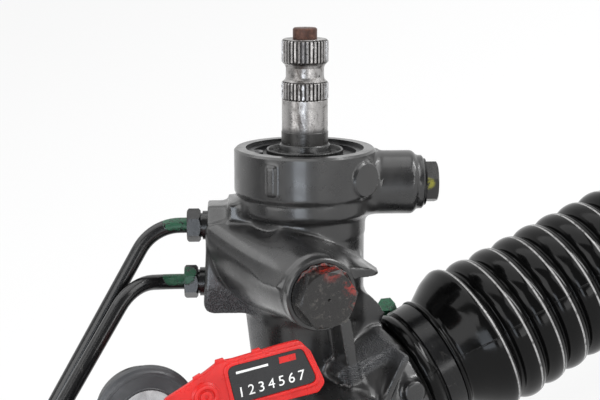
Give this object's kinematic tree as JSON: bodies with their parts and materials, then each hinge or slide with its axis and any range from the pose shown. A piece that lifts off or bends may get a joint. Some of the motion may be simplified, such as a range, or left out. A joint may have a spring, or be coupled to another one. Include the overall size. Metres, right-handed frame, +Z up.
{
  "type": "steering rack",
  "caption": "Hydraulic rack-and-pinion steering gear with leaning splined input, bellows boots, mounting eyes, tie rods and outer ball joints.",
  "frame": {"origin": "centre of the mounting eye beside the pinion, on the bolt hole's axis", "axes": "+X along the rack towards the pinion side's boot, +Z up, mounting bolts along Y, pinion behind the rack towards +Y"},
  "size_m": [1.2236, 0.1042, 0.2068],
  "materials": {
    "cast_paint": "semi-gloss black paint over casting",
    "line_paint": "gloss black paint",
    "bare_steel": "machined, used",
    "dark_steel": "phosphated",
    "zinc_steel": "zinc plated",
    "rust_steel": "rust-brown",
    "boot_rubber": "glossy black",
    "mount_rubber": "matte black",
    "seal_rubber": "satin black",
    "bronze": "plain bearing bronze",
    "white_plastic": "filled bearing plastic",
    "red_plastic": "glossy red",
    "clamp_steel": "black coated band",
    "green_mark": "green paint mark"
  },
  "bodies": {
    "housing": {"housing": "cast_paint", "cylinder_tube": "line_paint", "cylinder_end": "cast_paint", "rack_bushes": "bronze", "rack_seals": "seal_rubber", "rack_guide": "zinc_steel", "guide_spring": "dark_steel", "guide_cap": "cast_paint", "guide_lock_nut": "cast_paint", "upper_bearing": "dark_steel", "lower_bearing": "dark_steel", "pinion_seal": "seal_rubber", "bottom_cap": "cast_paint", "oil_seal": "seal_rubber", "dust_seal": "seal_rubber", "retaining_ring": "dark_steel", "press_in_plug": "cast_paint", "port_plug": "cast_paint", "port_washer": "bronze", "side_bore_plug": "cast_paint", "side_plug_o_ring": "seal_rubber", "damper_spring": "dark_steel", "tube_nuts": "line_paint", "near_tube": "line_paint", "far_tube": "line_paint", "mount_bushes": "mount_rubber", "mount_sleeves": "zinc_steel", "right_boot": "boot_rubber", "left_boot": "boot_rubber", "big_clamps": "clamp_steel", "clamp_screws": "green_mark", "seal_tag": "red_plastic", "seal_strap": "red_plastic"},
    "rack": {"rack_bar": "bare_steel", "piston": "bare_steel", "piston_ring": "white_plastic", "ball_sockets": "dark_steel", "ball_seats": "white_plastic"},
    "pinion": {"pinion": "bare_steel", "valve_sleeve": "bare_steel", "sleeve_rings": "white_plastic", "pinion_nut": "dark_steel"},
    "input": {"input_shaft": "bare_steel", "cross_pin": "rust_steel", "torsion_bar": "rust_steel"},
    "damper_spool": {"damper_spool": "bare_steel"},
    "right_tie_rod": {"right_tie_rod": "dark_steel", "right_jam_nut": "zinc_steel", "right_tie_rod_end": "dark_steel", "right_small_clamp": "zinc_steel", "right_dust_cover": "boot_rubber"},
    "right_stud": {"right_ball_stud": "zinc_steel", "right_stud_nut": "zinc_steel"},
    "left_tie_rod": {"left_tie_rod": "dark_steel", "left_jam_nut": "zinc_steel", "left_tie_rod_end": "dark_steel", "left_small_clamp": "zinc_steel", "left_dust_cover": "boot_rubber"},
    "left_stud": {"left_ball_stud": "zinc_steel", "left_stud_nut": "zinc_steel"}
  },
  "joints": [
    {"name": "rack_slide", "type": "slide", "parent": "housing", "child": "rack", "axis": [1, 0, 0], "range_m": [-0.062, 0.062], "deforming": ["right_boot", "left_boot"]},
    {"name": "pinion_spin", "type": "hinge", "parent": "housing", "child": "pinion", "pos_m": [0.062, 0.0255, -0.049], "axis": [0.4067, 0, 0.9135], "range_deg": [-455, 455]},
    {"name": "valve_twist", "type": "hinge", "parent": "pinion", "child": "input", "pos_m": [0.062, 0.0255, -0.049], "axis": [0.4067, 0, 0.9135], "range_deg": [-4, 4], "stiffness_Nm_per_rad": 50},
    {"name": "damper_spool_slide", "type": "slide", "parent": "housing", "child": "damper_spool", "axis": [0, -1, 0], "range_m": [0, 0.0025], "stiffness_N_per_m": 2000, "springref_m": -0.004, "deforming": ["damper_spring"]},
    {"name": "right_tie_rod_swing", "type": "hinge", "parent": "rack", "child": "right_tie_rod", "pos_m": [0.2025, 0.009, -0.049], "axis": [0, 1, 0], "range_deg": [-18, 18]},
    {"name": "right_stud_tilt", "type": "hinge", "parent": "right_tie_rod", "child": "right_stud", "pos_m": [0.508, 0.009, -0.049], "axis": [0, 1, 0], "range_deg": [-22, 22], "deforming": ["right_dust_cover"]},
    {"name": "left_tie_rod_swing", "type": "hinge", "parent": "rack", "child": "left_tie_rod", "pos_m": [-0.3725, 0.009, -0.049], "axis": [0, 1, 0], "range_deg": [-18, 18]},
    {"name": "left_stud_tilt", "type": "hinge", "parent": "left_tie_rod", "child": "left_stud", "pos_m": [-0.678, 0.009, -0.049], "axis": [0, 1, 0], "range_deg": [-22, 22], "deforming": ["left_dust_cover"]}
  ],
  "couplings": [
    {"joint": "pinion_spin", "follows": "rack_slide", "rad_per_m": 126.88}
  ]
}
